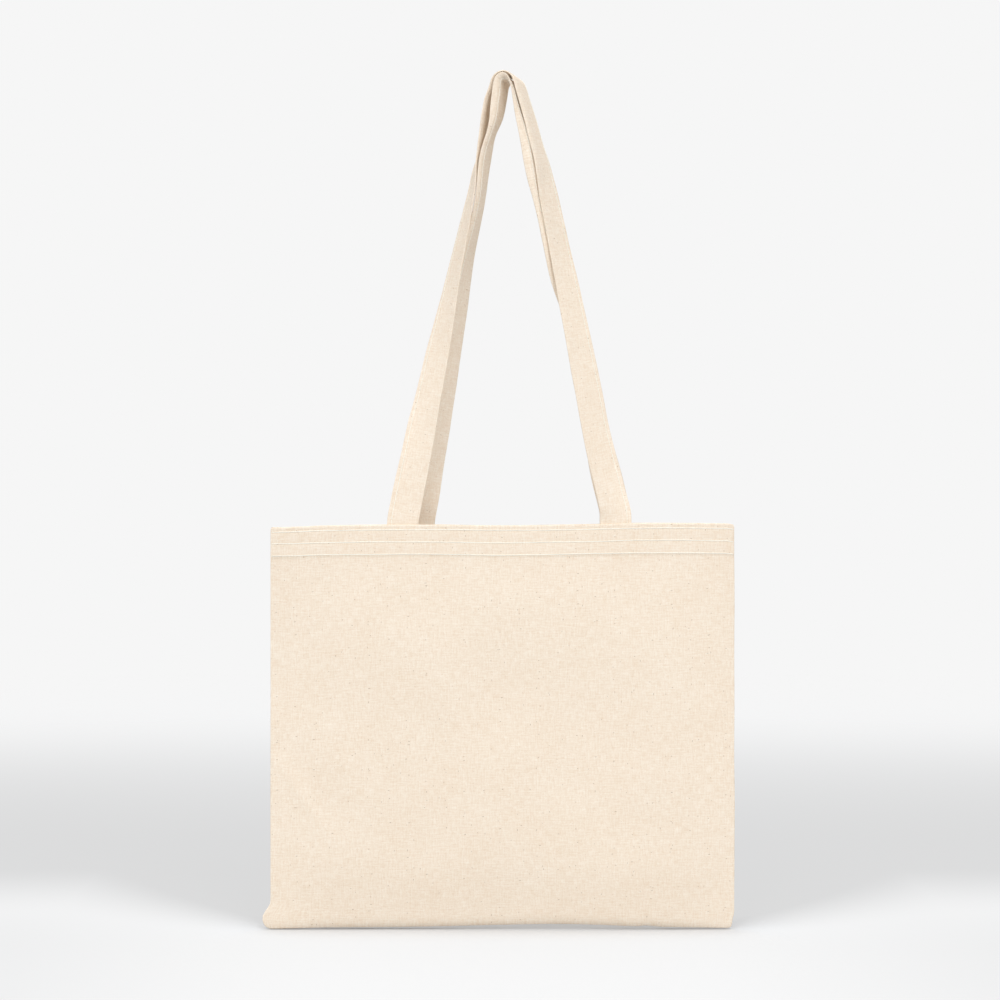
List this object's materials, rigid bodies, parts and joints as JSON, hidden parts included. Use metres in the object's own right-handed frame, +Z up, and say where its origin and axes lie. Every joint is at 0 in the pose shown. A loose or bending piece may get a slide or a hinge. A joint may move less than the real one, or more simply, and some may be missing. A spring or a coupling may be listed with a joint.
{
  "type": "canvas tote bag",
  "caption": "Flat unlined cotton canvas shopping tote with a stitched hem and long twisted strap handles drawn up over one hang point, for carrying goods by hand or on a shoulder.",
  "frame": {"origin": "the hang point: the underside of the rear handle's loop at its top, where a hook, peg or hand carries both handles", "axes": "+Z up; +Y from the front of the bag to its back; +X across the bag, to the right as seen from the front"},
  "size_m": [0.4, 0.0334, 0.7421],
  "materials": {
    "canvas": "unbleached plain-weave cotton canvas, matt, with small brown seed flecks",
    "strap": "the same canvas folded lengthwise into a flat strap, matt",
    "thread": "off-white spun sewing thread, matt, paler than the cloth"
  },
  "bodies": {
    "bag": {"front_panel": "canvas", "back_panel": "canvas", "front_handle_left_end": "strap", "front_handle_right_end": "strap", "rear_handle_left_end": "strap", "rear_handle_right_end": "strap", "front_hem_top_row": "thread", "front_hem_middle_row": "thread", "front_hem_lower_row": "thread", "back_hem_top_row": "thread", "back_hem_middle_row": "thread", "back_hem_lower_row": "thread", "left_seam_stitching": "thread", "right_seam_stitching": "thread", "bottom_seam_stitching": "thread", "left_seam_overlock": "thread", "right_seam_overlock": "thread", "bottom_seam_overlock": "thread"},
    "front_handle": {"front_handle": "strap", "front_handle_edge_stitching": "thread"},
    "rear_handle": {"rear_handle": "strap", "rear_handle_edge_stitching": "thread"}
  },
  "joints": [
    {"name": "front_handle_fold", "type": "hinge", "parent": "bag", "child": "front_handle", "pos_m": [0, -0.01465, -0.387], "axis": [1, 0, 0], "range_deg": [0, 175]},
    {"name": "rear_handle_fold", "type": "hinge", "parent": "bag", "child": "rear_handle", "pos_m": [0, 0.01465, -0.387], "axis": [-1, 0, 0], "range_deg": [0, 175]}
  ]
}
